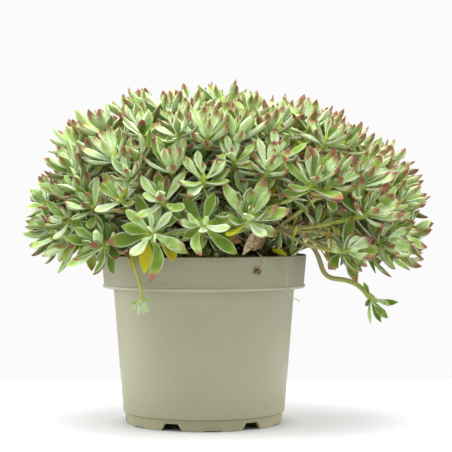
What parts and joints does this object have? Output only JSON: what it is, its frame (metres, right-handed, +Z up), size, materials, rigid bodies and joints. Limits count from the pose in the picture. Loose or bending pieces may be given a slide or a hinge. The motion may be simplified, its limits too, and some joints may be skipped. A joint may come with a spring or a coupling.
{
  "type": "potted echeveria",
  "caption": "Bushy potted echeveria: branching stems ending in open rosettes of thick pointed leaves, mounded over a tapered nursery pot with a deep rim.",
  "frame": {"origin": "on the pot's axis, at the centre of the flat underside that it stands on", "axes": "+Z up along the pot's axis; the side that the picture shows faces -Y; +X is the picture's right, the side that the plant leans to"},
  "size_m": [0.3341, 0.2983, 0.2847],
  "materials": {
    "leaf": null,
    "pot_plastic": "satin taupe, moulded",
    "potting_soil": null
  },
  "bodies": {
    "root": {"pot": "pot_plastic", "soil": "potting_soil", "leafy_stem_01": "leaf", "leafy_stem_02": "leaf", "leafy_stem_03": "leaf", "leafy_stem_04": "leaf", "leafy_stem_05": "leaf", "leafy_stem_06": "leaf", "leafy_stem_07": "leaf", "leafy_stem_08": "leaf", "leafy_stem_09": "leaf", "leafy_stem_10": "leaf", "leafy_stem_11": "leaf", "leafy_stem_12": "leaf", "leafy_stem_13": "leaf", "leafy_stem_14": "leaf", "leafy_stem_15": "leaf", "leafy_stem_16": "leaf", "leafy_stem_17": "leaf", "leafy_stem_18": "leaf", "leafy_stem_19": "leaf", "leafy_stem_20": "leaf", "leafy_stem_21": "leaf", "leafy_stem_22": "leaf", "leafy_stem_23": "leaf", "leafy_stem_24": "leaf", "leafy_stem_25": "leaf", "leafy_stem_26": "leaf", "leafy_stem_27": "leaf", "leafy_stem_28": "leaf", "leafy_stem_29": "leaf", "leafy_stem_30": "leaf", "leafy_stem_31": "leaf", "leafy_stem_32": "leaf", "leafy_stem_33": "leaf", "leafy_stem_34": "leaf", "leafy_stem_35": "leaf", "leafy_stem_36": "leaf", "leafy_stem_37": "leaf", "leafy_stem_38": "leaf", "leafy_stem_39": "leaf", "leafy_stem_40": "leaf", "leafy_stem_41": "leaf", "leafy_stem_42": "leaf", "leafy_stem_43": "leaf", "leafy_stem_44": "leaf", "leafy_stem_45": "leaf"}
  },
  "joints": []
}
